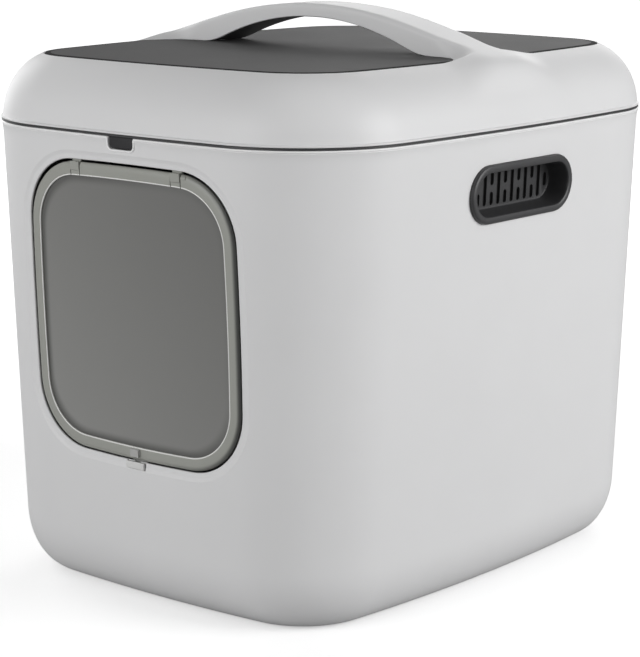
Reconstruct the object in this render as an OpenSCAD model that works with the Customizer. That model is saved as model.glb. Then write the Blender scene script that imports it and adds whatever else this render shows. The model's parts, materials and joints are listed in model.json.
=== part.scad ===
// Hooded litter box: a deep tub with a swinging front flap and a hinged lid
// with a carry handle. Origin at the centre of the flat base, +Z up, the
// flap faces -Y. Millimetres.

/* [Tub] */
// Width across the seam between tub and lid
body_w = 400; // [390:1:410]
// Depth across the seam, front to back
body_d = 487; // [476:1:498]
// Height of the tub's rim
rim_z = 372.6; // [366:0.2:380]
// Wall thickness of the mouldings
wall = 3; // [2.6:0.1:3.4]
// Corner radius in plan at the seam
corner_r = 102; // [96:1:108]
// Height of the rounded bottom edge
base_round_h = 48; // [40:1:56]
// Inset of the flat base from the wall above it
base_round_w = 30; // [26:1:34]

/* [Lid] */
// Height of the lid moulding, from the seam to the crown
crown_h = 51.4; // [49:0.2:54]
// Thickness of the top mat
mat_t = 2.2; // [1.8:0.1:2.4]
// Top of the carry handle above the floor
handle_top_z = 461.7; // [458:0.1:465]
// Half width of the carry handle
handle_half_w = 20.5; // [19:0.5:22]
// Lid opening angle that the model is drawn at
lid_open = 0; // [0:1:100]

/* [Flap door] */
// Width of the doorway
door_w = 220; // [214:1:226]
// Height of the doorway
door_h = 234; // [230:1:236]
// Height of the doorway's centre
door_z = 235.2; // [234:0.2:236]
// Width of the flap's frame band
band_w = 10.5; // [9.5:0.1:11.5]
// Flap angle that the model is drawn at
flap_open = 0; // [-75:1:75]

/* [Side vents] */
// Length of the grip's rim
grip_l = 139; // [132:1:146]
// Height of the grip's rim
grip_h = 50.5; // [48:0.5:53]
// Height of the grip's centre
grip_z = 325; // [318:1:328]
// Depth of the finger cup
grip_depth = 20.5; // [18:0.5:22]

/* [Hinge and latch] */
// Distance of the two lid hinges from the middle
hinge_x = 90; // [80:1:100]
// Distance of the hinge axis behind the middle
hinge_y = 249.5; // [249:0.1:251]
// Radius of the lid hinge pins
hinge_pin_r = 2; // [1.8:0.1:2.2]
// Half width of the latch button
latch_half_w = 14.3; // [13:0.1:15]

/* [Hidden] */

// Plan shape and draft of the body
seam_z = rim_z + 1;
draft_x = 0.0453;
draft_y = 0.041;
bow_front = 10.2;
bow_side = 14.1;
corner_taper = 0.064;
front_r = (pow(body_w / 2, 2) + pow(bow_front, 2)) / (2 * bow_front);

// Seam between tub and lid
flange_z = rim_z + 0.3;
lid_z = rim_z + 2;
ledge_w = 6;
hinge_z = rim_z + 1.2;

// Lid crown, a near elliptic quarter
crown_w = 48.6;
crown_start_z = rim_z - 1;
crown_rise = 56;
mat_inset = 35.1;
lip_z = lid_z + crown_h;
mat_floor_z = lip_z - 0.9 - mat_t;
roof_z = mat_floor_z - 2.6;
mat_x = body_w / 2 - mat_inset;
lid_corner_gain = 1.23;

// Carry handle: an arc between two straight shoulders
arc_r = 380;
arc_x = 105;
shoulder_x = 160;
handle_end_x = 193;
gap_top_z = handle_top_z - 10.7;
gap_r = 232;
gap_arc_x = 98.7;
gap_end_x = 122;
foot_x = 113;
foot_flare = 40;

// Flap: the sheet follows the curve of the front wall
door_tilt = atan(draft_y);
door_corner = 53;
dish_depth = 1;
dish_w = 7.5;
flap_front_n = 1.2;
flap_t = 3.2;
flap_w = door_w - 3;
flap_h = door_h - 3.2;
flap_drop = 0.6;
flap_hinge_x = 53;
flap_hinge_n = 4.3;
flap_hinge_w = 110.8;
flap_pin_r = 1.2;
flap_barrel_r = 2.4;
lock_back_n = 5.8;

// Vents
side_tilt = atan(draft_x);
side_x = body_w / 2 - draft_x * (seam_z - grip_z);
grip_e = (grip_l - grip_h) / 2;
grip_seat = 1.2;
slot_pitch = 9;
slot_w = 4.5;
slot_long = 28;
slot_split = 11.5;
slot_end = 13;

// Segments on the side, corner and front arcs of the plan and of the doorway
plan_steps = [4, 7, 5];
door_steps = [3, 6, 3];

mould_white = [0.86, 0.86, 0.87];
dark_plastic = [0.16, 0.16, 0.17];
mat_grey = [0.3, 0.3, 0.31];
flap_grey = [0.42, 0.42, 0.4, 0.9];
foam_black = [0.09, 0.09, 0.09];
steel = [0.7, 0.71, 0.73];

$fn = 48;

// Plan outline of eight tangent arcs, anticlockwise from the middle of the
// right side. hw, hd: half sizes; rc: corner radius; bx, by: how far the
// front and side arcs bow out; n: segments on side, corner and front arcs.
function outline(hw, hd, rc, bx, by, n) =
    let (r1 = (hw * hw + bx * bx) / (2 * bx), r2 = (hd * hd + by * by) / (2 * by),
         c1 = [0, hd - r1], c2 = [hw - r2, 0], d = norm(c2 - c1), u = (c2 - c1) / d,
         t = (pow(r1 - rc, 2) - pow(r2 - rc, 2) + d * d) / (2 * d),
         h = sqrt(pow(r1 - rc, 2) - t * t),
         c = c1 + t * u + h * [u.y, -u.x],
         a2 = atan2(c.y - c2.y, c.x - c2.x), a1 = atan2(c.y - c1.y, c.x - c1.x),
         quarter = concat(
             [for (i = [0 : n[0] - 1]) c2 + r2 * dir(a2 * i / n[0])],
             [for (i = [0 : n[1] - 1]) c + rc * dir(a2 + (a1 - a2) * i / n[1])],
             [for (i = [0 : n[2]]) c1 + r1 * dir(a1 + (90 - a1) * i / n[2])]),
         m = len(quarter) - 1)
    concat([for (i = [0 : m - 1]) quarter[i]],
           [for (i = [m : -1 : 1]) [-quarter[i].x, quarter[i].y]],
           [for (i = [0 : m - 1]) -quarter[i]],
           [for (i = [m : -1 : 1]) [quarter[i].x, -quarter[i].y]]);
function dir(a) = [cos(a), sin(a)];

// Outline of the tub wall at height z, drawn in by inset
function tub_outline(z, inset) =
    outline(body_w / 2 - draft_x * (seam_z - z) - inset, body_d / 2 - draft_y * (seam_z - z) - inset,
            corner_r - corner_taper * (seam_z - z) - inset, bow_front, bow_side, plan_steps);
// Outline of the lid, drawn in by inset
function lid_outline(inset) =
    outline(body_w / 2 - inset, body_d / 2 - inset, corner_r - lid_corner_gain * inset,
            bow_front, bow_side, plan_steps);
// The crown's section: inset as a share of its width at a share s of its
// rise, and the outside height at a given inset
function crown(s) = 1 - pow(1 - pow(s, 2.15), 0.538);
function crown_z(inset) =
    crown_start_z + crown_rise * pow(1 - pow(1 - inset / crown_w, 1 / 0.538), 1 / 2.15);

function lift(points, z) = [for (p = points) [p.x, p.y, z]];
function mean(points) = [for (i = [0 : 2]) sum([for (p = points) p[i]]) / len(points)];
function sum(v, i = 0) = i < len(v) ? v[i] + sum(v, i + 1) : 0;

// Closed skin through rings of equal length. The rings turn anticlockwise
// seen from the far end; each end is closed by a fan about its middle.
module skin(rings) {
    n = len(rings[0]);
    m = len(rings);
    polyhedron(
        points = concat([for (r = rings) each r], [mean(rings[0]), mean(rings[m - 1])]),
        faces = concat(
            [for (i = [0 : m - 2], j = [0 : n - 1], half = [0, 1])
                let (a = i * n + j, b = i * n + (j + 1) % n)
                half == 0 ? [a, b + n, b] : [a, a + n, b + n]],
            [for (j = [0 : n - 1]) [m * n, j, (j + 1) % n]],
            [for (j = [0 : n - 1]) [m * n + 1, (m - 1) * n + (j + 1) % n, (m - 1) * n + j]]));
}

// Closed band through rings that come round to the first one again
module band(rings) {
    n = len(rings[0]);
    m = len(rings);
    polyhedron(
        points = [for (r = rings) each r],
        faces = [for (i = [0 : m - 1], j = [0 : n - 1], half = [0, 1])
            let (k = (i + 1) % m, a = i * n + j, b = i * n + (j + 1) % n,
                 c = k * n + (j + 1) % n, d = k * n + j)
            half == 0 ? [a, c, b] : [a, d, c]]);
}

// Flat ring between two insets of the seam's outline
function seam_outline(inset) =
    outline(body_w / 2 - inset, body_d / 2 - inset, corner_r - inset, bow_front, bow_side, plan_steps);
module plan_ring(z0, z1, inset_out, inset_in) {
    translate([0, 0, z0]) linear_extrude(z1 - z0) difference() {
        polygon(seam_outline(inset_out));
        polygon(seam_outline(inset_in));
    }
}

// A place on a wall: x runs along the wall, y into the box, z up the wall
module on_wall(turn, reach, height, tilt) {
    rotate([0, 0, turn]) translate([0, -reach, height]) rotate([tilt, 0, 0]) children();
}
module on_door() {
    on_wall(0, body_d / 2 - draft_y * (seam_z - door_z), door_z, door_tilt) children();
}
module on_side(side) {
    on_wall(90 * side, side_x, grip_z, side_tilt) children();
}
module at_seam_front() {
    translate([0, -body_d / 2, 0]) children();
}

// Plate between depths n0 and n1, from a shape drawn on the wall
module wall_plate(n0, n1) {
    translate([0, n1, 0]) rotate([90, 0, 0]) linear_extrude(n1 - n0) children();
}
module wall_box(x0, x1, n0, n1, z0, z1) {
    translate([x0, n0, z0]) cube([x1 - x0, n1 - n0, z1 - z0]);
}
module obround(l, h) {
    square([l - h, h], center = true);
    for (s = [-1, 1]) translate([s * (l - h) / 2, 0]) circle(d = h);
}
// Sweeps a profile of (distance from the middle line, depth) round an
// obround whose end centres lie e either side of the middle
module obround_sweep(e) {
    rotate([-90, 0, 0]) {
        for (s = [-1, 1])
            translate([s * e, 0, 0]) rotate([0, 0, -90 * s]) rotate_extrude(angle = 180) children();
        for (flip = [0, 1])
            mirror([0, flip, 0]) translate([-e, 0, 0]) rotate([90, 0, 90]) linear_extrude(2 * e) children();
    }
}
module x_rod(r, l) {
    rotate([0, 90, 0]) cylinder(r = r, h = l, center = true);
}

// Ring of the doorway outline grown by off, at depth n behind the wall face
function door_ring(w, h, off, n) =
    [for (p = outline(w / 2 + off, h / 2 + off, door_corner + off, 2.5, 2.5, door_steps))
        [p.x, n + p.x * p.x / (2 * front_r), p.y]];

// Tub

function tub_rings() = concat(
    [for (a = [-8, 14, 32, 50, 70, 90])
        let (z = base_round_h * (1 - cos(a)) * (a < 0 ? -1 : 1))
        lift(tub_outline(max(z, 0), base_round_w * (1 - sin(max(a, 0)))), z)],
    [lift(tub_outline(rim_z - 1.2, 0), rim_z - 1.2),
     lift(tub_outline(rim_z, 0.8), rim_z),
     lift(tub_outline(rim_z, ledge_w), rim_z),
     lift(tub_outline(rim_z - 5.6, ledge_w), rim_z - 5.6),
     lift(tub_outline(rim_z - 10.6, wall), rim_z - 10.6)],
    [for (a = [90, 66, 44, 22, 0])
        let (z = base_round_h - (base_round_h - wall - 0.5) * cos(a))
        lift(tub_outline(z, wall + (base_round_w - wall) * (1 - sin(a))), z)]);

module tub() color(mould_white) difference() {
    union() {
        skin(tub_rings());
        // Pads that the flap clips and the hinge bases sit on
        for (s = [-1, 1]) {
            on_door() translate([s * flap_hinge_x, 0, 0])
                wall_box(-7, 7, 2.4, 4.4, flap_hinge_w + 7.4, flap_hinge_w + 15);
            translate([s * hinge_x - 21, body_d / 2 - 9, 331]) cube([42, 9, 33]);
        }
        // Rib that the latch nose passes
        at_seam_front() wall_box(-8, 8, 2.5, 5, 357.5, 360.5);
    }
    translate([-body_w / 2, -body_d / 2, -2]) cube([body_w, body_d, 2]);
    // Doorway with a dished edge
    on_door() {
        skin([door_ring(door_w, door_h, 0, 12), door_ring(door_w, door_h, 0, dish_depth),
              door_ring(door_w, door_h, 2 * dish_w, -dish_depth),
              door_ring(door_w, door_h, 2 * dish_w, -9)]);
        // Seat and slot of the flap lock
        wall_box(-11.8, 11.8, -4, 0.9, -123.8, -114);
        wall_box(-3.3, 3.3, 0, 12, -123, -114);
    }
    // Notch for the latch button
    at_seam_front() wall_box(-latch_half_w - 0.8, latch_half_w + 0.8, -2, 9, 361.9, 380);
    // Seats and holes of the side grips
    for (side = [-1, 1]) on_side(side) {
        wall_plate(-6, grip_seat) obround(grip_l + 0.8, grip_h + 0.8);
        wall_plate(-6, 16) obround(grip_l - 6.8, grip_h - 6.8);
    }
}

// Side grips, each a finger cup with a slotted back over a carbon filter

module vent_slots() {
    for (i = [-5 : 5]) translate([i * slot_pitch, 0])
        if (abs(i) == 5) obround_up(slot_end);
        else if (i % 2 == 0) obround_up(slot_long);
        else for (s = [-1, 1]) translate([0, s * (slot_long - slot_split) / 2]) obround_up(slot_split);
}
module obround_up(h) {
    rotate(90) obround(h, slot_w);
}

module vent_grip(side) color(dark_plastic) on_side(side) {
    r = grip_h / 2;
    obround_sweep(grip_e) polygon([
        [r - 6, -1.4], [r - 5, -2.8], [r - 1.1, -2.8], [r, -1.7], [r, grip_seat],
        [r - 3.7, grip_seat], [r - 5.5, grip_depth + 2], [r - 7.7, grip_depth + 2],
        [r - 7.7, grip_depth], [r - 6, 0]]);
    wall_plate(grip_depth, grip_depth + 2) difference() {
        obround(2 * grip_e + 2 * r - 15, 2 * r - 15);
        vent_slots();
    }
}

module vent_filter(side) color(foam_black) on_side(side)
    wall_plate(grip_depth + 2.2, grip_depth + 9.6) obround(grip_l - 17.5, grip_h - 17.5);

module filter_cover(side) color(dark_plastic) on_side(side) {
    r = grip_h / 2;
    n = grip_depth;
    obround_sweep(grip_e) polygon([
        [r - 4.2, n - 3.5], [r - 2.6, n - 3.5], [r - 2.6, n + 11.4], [r - 7, n + 11.4],
        [r - 7, n + 9.8], [r - 4.2, n + 9.8], [r - 4.2, n + 4], [r - 6, n + 4],
        [r - 6, n + 2.1], [r - 4.2, n + 2.1]]);
    wall_plate(n + 9.8, n + 11.4) difference() {
        obround(2 * grip_e + 2 * r - 13.6, 2 * r - 13.6);
        for (i = [-4 : 4]) translate([i * 10, 0]) obround_up(20);
    }
}

// Flap door

module flap_clip(s) color(mould_white) on_door() translate([s * flap_hinge_x, 0, 0]) difference() {
    union() {
        translate([0, flap_hinge_n, flap_hinge_w]) x_rod(2.8, 9.5);
        wall_box(-4.75, 4.75, 4.4, 6.6, flap_hinge_w, flap_hinge_w + 14.6);
    }
    translate([0, flap_hinge_n, flap_hinge_w]) x_rod(flap_pin_r + 0.06, 12);
}

function flap_ring(off, n) =
    [for (p = door_ring(flap_w, flap_h, off, flap_front_n + n)) p - [0, 0, flap_drop]];

module flap_frame() color(flap_grey) on_door() difference() {
    union() {
        band([flap_ring(0, 2.4), flap_ring(0, 0.8), flap_ring(-0.8, 0), flap_ring(-band_w + 0.8, 0),
              flap_ring(-band_w, 0.8), flap_ring(-band_w, 1.6), flap_ring(-band_w + 3.5, 1.6),
              flap_ring(-band_w + 3.5, flap_t), flap_ring(-0.8, flap_t)]);
        for (s = [-1, 1], k = [-1, 1])
            translate([s * flap_hinge_x + k * 7.7, flap_hinge_n, flap_hinge_w]) x_rod(flap_barrel_r, 5);
    }
    for (s = [-1, 1]) translate([s * flap_hinge_x, 0, 0]) {
        wall_box(-5.2, 5.2, -4, 12, flap_hinge_w - 4.2, flap_hinge_w + 8);
        translate([0, flap_hinge_n, flap_hinge_w]) x_rod(flap_pin_r + 0.02, 24);
    }
}

// Small stop on the band that the lock slides up to
module flap_keeper() color(flap_grey) on_door()
    wall_box(-4.3, 4.3, flap_front_n - 2.4, flap_front_n, -113, -107);

module flap_panel() color(flap_grey) on_door() intersection() {
    // Thin sheet curved like the front wall
    translate([0, front_r + flap_front_n + 1.7, -flap_h / 2]) rotate([0, 0, -94])
        rotate_extrude(angle = 8, $fn = 1440)
            translate([front_r - 1.4, 0]) square([1.4, flap_h]);
    wall_plate(-10, 30) translate([0, -flap_drop])
        polygon(outline(flap_w / 2 - band_w + 3.2, flap_h / 2 - band_w + 3.2,
                        door_corner - band_w + 3.2, 2.5, 2.5, door_steps));
}

module flap_pin(s) color(steel) on_door()
    translate([s * flap_hinge_x, flap_hinge_n, flap_hinge_w]) x_rod(flap_pin_r, 20);

// Lock below the flap, which slides up in front of and behind the flap's edge

module lock_slider() color(flap_grey) on_door() {
    wall_box(-11, 11, -2.6, 0.7, -123.2, -117.2);
    wall_box(-3, 3, 0.7, lock_back_n, -122.7, -120.4);
}
module lock_back() color(flap_grey) on_door()
    wall_box(-8, 8, lock_back_n, lock_back_n + 2, -124.2, -117.2);

// Lid hinges

module hinge_base(s) color(dark_plastic) translate([s * hinge_x, 0, 0]) difference() {
    union() {
        translate([-20, body_d / 2, 333]) cube([40, 3, 29]);
        for (k = [-1, 1]) translate([k * 13 - 3.1, 0, 0]) {
            translate([3.1, hinge_y, hinge_z]) x_rod(4.5, 6.2);
            rotate([90, 0, 90]) linear_extrude(6.2)
                polygon([[body_d / 2, 338], [body_d / 2 + 3, 338], [hinge_y + 4.4, 364],
                         [hinge_y + 4.4, hinge_z], [hinge_y - 4.4, hinge_z], [body_d / 2 + 1, 362],
                         [body_d / 2, 362]]);
        }
    }
    translate([0, hinge_y, hinge_z]) x_rod(hinge_pin_r + 0.03, 50);
}

module hinge_pin(s) color(steel) translate([s * hinge_x, hinge_y, hinge_z]) {
    x_rod(hinge_pin_r, 32.6);
    for (k = [-1, 1]) translate([k * 17, 0, 0]) x_rod(3.1, 1.4);
}

// Lid

// Outside and underside of the handle at distance x from the middle
function handle_z(x) =
    let (ax = abs(x), slope = arc_x / arc_r)
    handle_top_z - (ax < arc_x ? ax * ax / (2 * arc_r)
                               : arc_x * slope / 2 + (ax - arc_x) * slope)
    - (ax > shoulder_x ? 12 * pow((ax - shoulder_x) / 30, 6.3) : 0);
function gap_z(x) =
    let (ax = abs(x), slope = gap_arc_x / gap_r, edge = gap_top_z - gap_arc_x * slope / 2)
    ax < gap_arc_x ? gap_top_z - ax * ax / (2 * gap_r)
    : edge - slope * (ax - gap_arc_x) + slope * pow(ax - gap_arc_x, 2) / (2 * (gap_end_x - gap_arc_x));

// Half width of the handle's foot at x, flared by a quarter circle into the
// lid's side, and the height that the flare runs out at
function foot_w(x) =
    let (d = max(0, min(foot_flare, mat_x - abs(x))))
    handle_half_w + foot_flare - sqrt(pow(foot_flare, 2) - pow(foot_flare - d, 2));
function flare_z(x) = abs(x) < mat_x ? lip_z - 0.2 : crown_z(body_w / 2 - abs(x)) - 1.5;

// Side of the handle's section, from the top face down: a rounded bar in the
// middle of the span that spreads into the lid's side towards the ends
flat_w = handle_half_w - 3.5;
bar_side = [[0, 0], [2.4, 0.9], [3.5, 3.5], [3.5, 5], [3.5, 6.5], [3.5, 8]];
function spread(t) = t * t * (3 - 2 * t);
function handle_side(x) =
    let (m = max(0, min(1, (abs(x) - mat_x + foot_flare) / foot_flare)), top = handle_z(x))
    [for (i = [0 : 5])
        let (t = i / 5, bar = [flat_w + bar_side[i].x, top - bar_side[i].y],
             flare = [flat_w + (foot_w(x) - flat_w) * t, top - (top - flare_z(x)) * spread(t)])
        (1 - m) * bar + m * flare];
function handle_section(x) =
    let (side = handle_side(x), low = abs(x) > foot_x + 2 ? min(roof_z + 1, flare_z(x) - 1) : gap_z(x))
    concat([[x, -side[5].x, low], [x, side[5].x, low]],
           [for (i = [5 : -1 : 0]) [x, side[i].x, side[i].y]],
           [for (i = [0 : 5]) [x, -side[i].x, side[i].y]]);

handle_half = [0, 25, 50, 70, 86, 98, 106, 113, 119, 127, 136, 144, 151, 157, 161, 164.9, 170, 176, 182,
               187, 190.5, handle_end_x];
function both_ways(list) =
    concat([for (i = [len(list) - 1 : -1 : 1]) -list[i]], list);

// Plain bar along the handle, for its lining and the channel that holds it
channel_x = both_ways([0, 20, 45, 70, 90, 105, 112]);
function bar_ring(x, w, low, high) = [[x, -w, low], [x, w, low], [x, w, high], [x, -w, high]];

function hollow_ring(s) =
    lift(lid_outline(wall + (crown_w - wall) * crown(s)), crown_start_z + (crown_rise - 2.8) * s);
roof_s = (roof_z - crown_start_z) / (crown_rise - 2.8);
hollow_steps = [roof_s, 0.86, 0.77, 0.64, 0.48, 0.3, 0.12];

function lid_rings() = concat(
    [for (s = hollow_steps) hollow_ring(s)],
    [lift(lid_outline(wall), lid_z), lift(lid_outline(0.8), lid_z), lift(lid_outline(0.1), lid_z + 0.9)],
    [for (s = [0.2, 0.35, 0.5, 0.62, 0.73, 0.82, 0.89, 0.94])
        lift(lid_outline(crown_w * crown(s)), crown_start_z + crown_rise * s)],
    [lift(lid_outline(mat_inset - 1.4), lip_z), lift(lid_outline(mat_inset - 0.6), lip_z),
     lift(lid_outline(mat_inset - 0.5), mat_floor_z)]);

// Feet of the handle, which stand up through the mat at both ends
module handle_feet(grow) {
    for (s = [0, 180]) rotate(s) {
        translate([foot_x - grow, -handle_half_w - grow]) square([60, 2 * (handle_half_w + grow)]);
        for (m = [0, 1]) mirror([0, m]) difference() {
            translate([mat_x - foot_flare, 0]) square([foot_flare + 4, handle_half_w + foot_flare]);
            translate([mat_x - foot_flare, handle_half_w + foot_flare]) circle(foot_flare - grow);
        }
    }
}

module lid_shell() color(mould_white) difference() {
    union() {
        skin(lid_rings());
        intersection() {
            translate([0, 0, roof_z + 0.6]) linear_extrude(lip_z - roof_z - 0.6) handle_feet(0);
            translate([0, 0, roof_z]) linear_extrude(20) polygon(lid_outline(mat_inset - 1.5));
        }
        skin([for (x = both_ways(handle_half)) handle_section(x)]);
    }
    // Channel under the handle for its lining
    skin([for (x = channel_x) bar_ring(x, handle_half_w - 3, max(gap_z(x) - 6, lip_z - 0.9), gap_z(x) + 4)]);
    // Hollow of the lid, kept clear of the handle's ends
    skin([for (i = [len(hollow_steps) - 1 : -1 : 0]) hollow_ring(hollow_steps[i])]);
}

module lid_frame() color(dark_plastic) difference() {
    union() {
        difference() {
            union() {
                plan_ring(flange_z, lid_z, 1.5, 12);
                plan_ring(lid_z, lid_z + 4.4, 4.2, 6);
                plan_ring(flange_z - 8.6, flange_z, 6.7, 8.5);
            }
            at_seam_front() wall_box(-16, 16, 2, 9, flange_z - 10, flange_z);
        }
        // Guide of the latch button
        at_seam_front() {
            wall_box(-12, 12, 11, 20, flange_z, lid_z);
            wall_box(-12, 12, 18.4, 20, flange_z - 9, flange_z);
            for (k = [-1, 1]) {
                translate([k * 10.7 - 1.3, 0, 0]) wall_box(0, 2.6, 6.6, 18.5, flange_z - 9, flange_z);
                translate([k * 9.5 - 2.5, 0, 0]) wall_box(0, 5, 8, 18.5, flange_z - 9, flange_z - 7.3);
            }
        }
        // Knuckles of the lid hinges
        for (s = [-1, 1]) translate([s * hinge_x, 0, 0]) {
            translate([0, hinge_y, hinge_z]) x_rod(4.5, 19);
            wall_box(-9.5, 9.5, body_d / 2 - 12, hinge_y, flange_z, lid_z);
        }
    }
    // Groove of the rim seal and bores of the knuckles
    plan_ring(flange_z - 1, flange_z + 0.7, 2.5, 5.3);
    for (s = [-1, 1]) translate([s * hinge_x, hinge_y, hinge_z]) x_rod(hinge_pin_r + 0.07, 24);
}

module rim_seal() color(foam_black) plan_ring(rim_z + 0.05, flange_z + 0.7, 2.6, 5.2);

module top_mat() color(mat_grey) translate([0, 0, mat_floor_z]) linear_extrude(mat_t) difference() {
    polygon(lid_outline(mat_inset));
    handle_feet(0.5);
}

module handle_insert() color(dark_plastic)
    skin([for (x = channel_x) bar_ring(x, handle_half_w - 3.25, gap_z(x) + 0.3, gap_z(x) + 3.7)]);

// Press button with a guide rail behind it and a nose that reaches below
// the tub's rib
module front_latch() color(dark_plastic) at_seam_front() {
    wall_plate(0.4, 3) {
        translate([-latch_half_w, 365.8]) square([2 * latch_half_w, 6.6]);
        translate([-latch_half_w + 3, 362.8]) square([2 * latch_half_w - 6, 4]);
        for (k = [-1, 1]) translate([k * (latch_half_w - 3), 365.8]) circle(3);
    }
    wall_box(-9, 9, 3, 15, 366, 372.3);
    wall_box(-6, 6, 5.3, 7.3, 355.5, 366);
}

// Lid parts turn about the hinge pins; the flap turns about its own pins
module lid_pose() {
    translate([0, hinge_y, hinge_z]) rotate([-lid_open, 0, 0]) translate([0, -hinge_y, -hinge_z]) children();
}
module flap_pose() {
    on_door() translate([0, flap_hinge_n, flap_hinge_w]) rotate([flap_open, 0, 0])
        translate([0, -flap_hinge_n, -flap_hinge_w]) off_door() children();
}
module off_door() {
    rotate([-door_tilt, 0, 0])
        translate([0, body_d / 2 - draft_y * (seam_z - door_z), -door_z]) children();
}

tub();
vent_grip(-1);  // vent_grip_left
vent_grip(1);  // vent_grip_right
vent_filter(-1);  // vent_filter_left
vent_filter(1);  // vent_filter_right
filter_cover(-1);  // filter_cover_left
filter_cover(1);  // filter_cover_right
flap_clip(-1);  // flap_clip_left
flap_clip(1);  // flap_clip_right
hinge_base(-1);  // hinge_base_left
hinge_base(1);  // hinge_base_right
hinge_pin(-1);  // hinge_pin_left
hinge_pin(1);  // hinge_pin_right
lid_pose() lid_shell();
lid_pose() lid_frame();
lid_pose() rim_seal();
lid_pose() top_mat();
lid_pose() handle_insert();
lid_pose() front_latch();
flap_pose() flap_frame();
flap_pose() flap_keeper();
flap_pose() flap_panel();
flap_pose() flap_pin(-1);  // flap_pin_left
flap_pose() flap_pin(1);  // flap_pin_right
lock_slider();
lock_back();
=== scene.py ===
# Hooded litter box in its studio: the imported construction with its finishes,
# and the smooth mouldings modelled over it.
import json
import math
import bmesh
import bpy
from mathutils import Matrix, Vector


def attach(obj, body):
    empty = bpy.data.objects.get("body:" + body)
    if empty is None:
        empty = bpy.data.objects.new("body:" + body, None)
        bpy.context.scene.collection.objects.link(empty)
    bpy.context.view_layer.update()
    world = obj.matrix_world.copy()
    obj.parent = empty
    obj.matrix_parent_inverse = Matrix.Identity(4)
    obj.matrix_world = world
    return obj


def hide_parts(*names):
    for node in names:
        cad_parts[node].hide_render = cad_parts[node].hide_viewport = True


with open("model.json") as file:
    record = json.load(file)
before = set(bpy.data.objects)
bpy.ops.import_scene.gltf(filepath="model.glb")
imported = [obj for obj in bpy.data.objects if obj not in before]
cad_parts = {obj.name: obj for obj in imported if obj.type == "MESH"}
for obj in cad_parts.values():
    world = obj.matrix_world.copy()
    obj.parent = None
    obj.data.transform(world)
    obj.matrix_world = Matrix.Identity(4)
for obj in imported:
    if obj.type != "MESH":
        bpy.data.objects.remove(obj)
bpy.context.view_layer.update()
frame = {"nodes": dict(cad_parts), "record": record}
nodes = frame["nodes"]

# Studio
# A white sweep under soft light, seen from the front right and a little
# above, as the photograph was taken.
photo_width = 640
photo_height = 657
focal_px = 2336.9
centre_px = (318.58, 327.49)
camera_place = (1.24107, -1.48983, 0.5857)
camera_azimuth = math.radians(40.013)
camera_elevation = math.radians(11.585)

camera_data = bpy.data.cameras.new("photo_camera")
camera_data.sensor_width = 36.0
camera_data.lens = focal_px * camera_data.sensor_width / photo_height
camera_data.shift_x = (photo_width / 2 - centre_px[0]) / photo_height
camera_data.shift_y = (centre_px[1] - photo_height / 2) / photo_height
camera_data.clip_end = 60
camera = bpy.data.objects.new("photo_camera", camera_data)
bpy.context.collection.objects.link(camera)
looking_back = Vector((math.sin(camera_azimuth) * math.cos(camera_elevation),
                       -math.cos(camera_azimuth) * math.cos(camera_elevation),
                       math.sin(camera_elevation)))
camera.location = camera_place
camera.rotation_mode = "QUATERNION"
camera.rotation_quaternion = (-looking_back).to_track_quat("-Z", "Y")
bpy.context.scene.camera = camera
bpy.context.scene.view_settings.view_transform = "Standard"


def softbox(name, place, aim, width, height, power):
    """A rectangular lamp at place, turned towards aim."""
    lamp = bpy.data.lights.new(name, "AREA")
    lamp.shape = "RECTANGLE"
    lamp.size = width
    lamp.size_y = height
    lamp.energy = power
    holder = bpy.data.objects.new(name, lamp)
    holder.location = place
    holder.rotation_euler = (Vector(aim) - Vector(place)).to_track_quat("-Z", "Y").to_euler()
    bpy.context.collection.objects.link(holder)


softbox("right_softbox", (2.7, 0.9, 1.1), (0, 0, 0.2), 1.7, 1.7, 60)
softbox("back_softbox", (-1.2, 2.4, 1.4), (0, 0, 0.3), 1.6, 1.6, 19)
softbox("left_softbox", (-2.6, 0.5, 1.0), (0, 0, 0.2), 1.4, 1.8, 25)
softbox("front_softbox", (-0.6, -3.0, 1.0), (0, 0, 0.25), 2.4, 1.8, 47)

room = bpy.data.worlds.new("studio")
bpy.context.scene.world = room
room.use_nodes = True
links = room.node_tree.links
fill = room.node_tree.nodes["Background"]
fill.inputs["Color"].default_value = (1, 1, 1, 1)
fill.inputs["Strength"].default_value = 0.21
white = room.node_tree.nodes.new("ShaderNodeBackground")
white.inputs["Color"].default_value = (1, 1, 1, 1)
seen = room.node_tree.nodes.new("ShaderNodeLightPath")
pick = room.node_tree.nodes.new("ShaderNodeMixShader")
links.new(seen.outputs["Is Camera Ray"], pick.inputs["Fac"])
links.new(fill.outputs["Background"], pick.inputs[1])
links.new(white.outputs["Background"], pick.inputs[2])
links.new(pick.outputs["Shader"], room.node_tree.nodes["World Output"].inputs["Surface"])


def ramp(tree, start, end, first, last):
    """A Map Range node that turns start to end into first to last."""
    node = tree.nodes.new("ShaderNodeMapRange")
    for name, value in (("From Min", start), ("From Max", end), ("To Min", first), ("To Max", last)):
        node.inputs[name].default_value = value
    return node


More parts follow.
